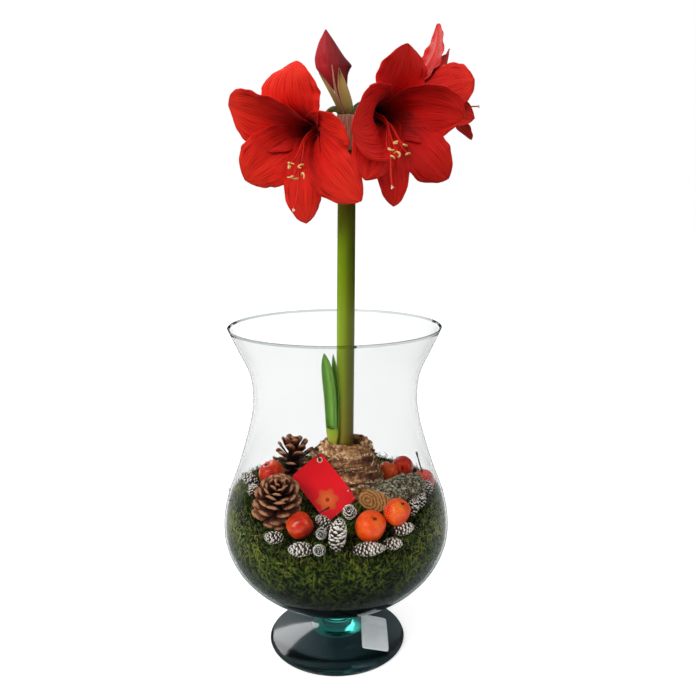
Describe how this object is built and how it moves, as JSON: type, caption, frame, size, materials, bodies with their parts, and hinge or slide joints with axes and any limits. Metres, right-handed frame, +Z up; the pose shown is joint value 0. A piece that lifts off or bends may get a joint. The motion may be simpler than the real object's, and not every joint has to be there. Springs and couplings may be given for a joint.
{
  "type": "potted amaryllis",
  "caption": "Amaryllis flowering from its bulb in a footed clear glass vase, with moss, cones, small apples and a log packed round the bulb, and a plain red care card.",
  "frame": {"origin": "centre of the underside of the vase's foot, on the surface it stands on", "axes": "+Z up along the vase; -Y is the front, where the left and right blooms face; +X to the viewer's right"},
  "size_m": [0.295, 0.2576, 0.7038],
  "materials": {
    "glass": "clear blown glass, faint green tint",
    "soil": "moist dark potting soil",
    "moss": "matte moss",
    "bulb_tunic": "dry papery bulb skin",
    "stalk": "smooth waxy green stalk",
    "sheath": "pale leaf base",
    "leaf": "smooth green leaf",
    "tepal_scarlet": "velvety scarlet petal",
    "tepal_crimson": "velvety crimson petal",
    "anther": "pollen-covered",
    "bud": "closed petals, satin",
    "bracteole": "dry olive bract",
    "papery_bract": "dry papery bract",
    "apple": "glossy apple skin",
    "apple_orange": "glossy apple skin",
    "pine_cone": "woody scales",
    "frosted_cone": "woody scales with a frosted coat",
    "bark": "bark with lichen",
    "card": "printed card, satin, no text",
    "tie": "dark cord",
    "blank_label": "blank clear sticker"
  },
  "bodies": {
    "root": {"glass_vase": "glass", "soil": "soil", "moss": "moss", "bulb": "bulb_tunic", "scape": "stalk", "leaf_sheath": "sheath", "leaf_front": "leaf", "leaf_right": "leaf", "leaf_short": "leaf", "bloom_left": "tepal_scarlet", "bloom_right": "tepal_crimson", "bloom_back": "tepal_crimson", "stamens_left": "anther", "stamens_right": "anther", "stamens_back": "anther", "pedicel_left": "stalk", "pedicel_right": "stalk", "pedicel_back": "stalk", "pedicel_bud": "stalk", "bud": "bud", "spathe_bract": "papery_bract", "bracteole_left": "bracteole", "bracteole_thin": "papery_bract", "bracteole_broad": "bracteole", "small_cone_01": "frosted_cone", "small_cone_02": "frosted_cone", "small_cone_03": "frosted_cone", "small_cone_04": "frosted_cone", "small_cone_05": "frosted_cone", "small_cone_06": "frosted_cone", "small_cone_07": "frosted_cone", "small_cone_08": "frosted_cone", "small_cone_09": "frosted_cone", "small_cone_10": "frosted_cone", "small_cone_11": "frosted_cone", "small_cone_12": "frosted_cone", "small_cone_13": "frosted_cone", "small_cone_14": "frosted_cone", "small_cone_15": "frosted_cone", "pine_cone_front": "pine_cone", "pine_cone_back": "pine_cone", "log": "bark", "care_card": "card", "card_tie": "tie", "apple_left_back": "apple", "apple_left_front": "apple", "apple_right_front": "apple_orange", "apple_right": "apple_orange", "apple_right_back": "apple", "apple_bulb_side": "apple", "apple_far_right": "apple", "foot_label": "blank_label"}
  },
  "joints": []
}
